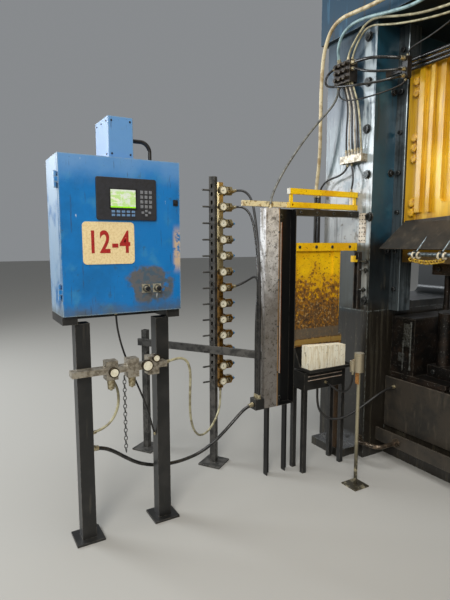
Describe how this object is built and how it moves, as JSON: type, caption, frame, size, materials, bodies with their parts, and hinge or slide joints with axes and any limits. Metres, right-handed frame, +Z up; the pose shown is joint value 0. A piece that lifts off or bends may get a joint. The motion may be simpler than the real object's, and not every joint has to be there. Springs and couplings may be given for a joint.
{
  "type": "straight-side press",
  "caption": "Straight-side mechanical stamping press with a bed, uprights, crown, yellow slide, dies, side guards, light curtains, valve stand and control cabinet.",
  "frame": {"origin": "on the floor at the centre of the four anchor holes of the press bed", "axes": "+X to the right along the press front, +Y to the rear, +Z up"},
  "size_m": [3.8571, 3.925, 4.9098],
  "materials": {
    "bare_wood": "sawn pale wood",
    "black_frame": "black paint, oily",
    "brass_valve": "dull brass",
    "cabinet_blue": "bright blue enamel, rubbed and rusted low down",
    "cast_fitting": "dirty cast aluminium",
    "dark_sheet": "dark oiled sheet",
    "display_plastic": "textured black bezel",
    "emitter_housing": "black extrusion with a pale lens",
    "guard_yellow": "safety-yellow paint, rusted lower down",
    "hose_rubber": "black hose",
    "machined_steel": "ground steel with an oil film",
    "motor_paint": "blue-grey enamel",
    "oiled_casting": "oiled casting and tool steel",
    "plate_cream": "cream enamelled plate",
    "post_grey": "chipped pale grey paint",
    "press_blue": "oil-stained blue enamel",
    "slide_yellow": "worn safety-yellow enamel with oil runs",
    "stained_sheet": "stained galvanised sheet",
    "switch_plate": "pale plates with dark knobs"
  },
  "bodies": {
    "press": {"air_prep": "cast_fitting", "air_tank": "motor_paint", "bed": "press_blue", "bolster": "oiled_casting", "box_conduit": "cast_fitting", "cabinet_stand": "black_frame", "chute_blocks": "bare_wood", "control_cabinet": "cabinet_blue", "crown": "press_blue", "crown_hoses": "hose_rubber", "distribution_block": "cast_fitting", "drop_hoses": "hose_rubber", "fence_rail": "post_grey", "flywheel_cover": "press_blue", "front_brackets": "black_frame", "front_hoses": "hose_rubber", "front_ledge": "dark_sheet", "front_plate": "dark_sheet", "hose_cluster": "cast_fitting", "junction_box": "cabinet_blue", "left_emitter": "emitter_housing", "left_gibs": "machined_steel", "left_guard_bars": "guard_yellow", "left_guard_panel": "guard_yellow", "left_header": "black_frame", "left_light_curtain": "stained_sheet", "left_riser": "oiled_casting", "left_upright": "press_blue", "lower_die": "oiled_casting", "main_motor": "motor_paint", "parts_chute": "black_frame", "pedestal": "black_frame", "rear_post": "post_grey", "right_emitter": "emitter_housing", "right_gibs": "machined_steel", "right_guard_bars": "guard_yellow", "right_guard_panel": "guard_yellow", "right_header": "black_frame", "right_light_curtain": "stained_sheet", "right_riser": "oiled_casting", "right_upright": "press_blue", "riser_pipes": "black_frame", "service_pipes": "cast_fitting", "stand_hoses": "hose_rubber", "terminal_boxes": "black_frame", "tie_rods": "machined_steel", "valve_post": "post_grey", "valve_stack": "brass_valve", "valve_stubs": "post_grey"},
    "slide_body": {"slide": "slide_yellow", "slide_skirt": "dark_sheet", "knockout_bar": "machined_steel", "upper_die": "oiled_casting", "plungers": "machined_steel", "slide_harness": "hose_rubber"},
    "door_body": {"cabinet_door": "cabinet_blue", "operator_display": "display_plastic", "number_plate": "plate_cream", "selector_switches": "switch_plate"}
  },
  "joints": [
    {"name": "slide_stroke", "type": "slide", "parent": "press", "child": "slide_body", "axis": [0, 0, 1], "range_m": [-0.25, 0]},
    {"name": "cabinet_door_hinge", "type": "hinge", "parent": "press", "child": "door_body", "pos_m": [-1.083, -2.798, 1.564], "axis": [0, 0, -1], "range_deg": [0, 120]}
  ]
}
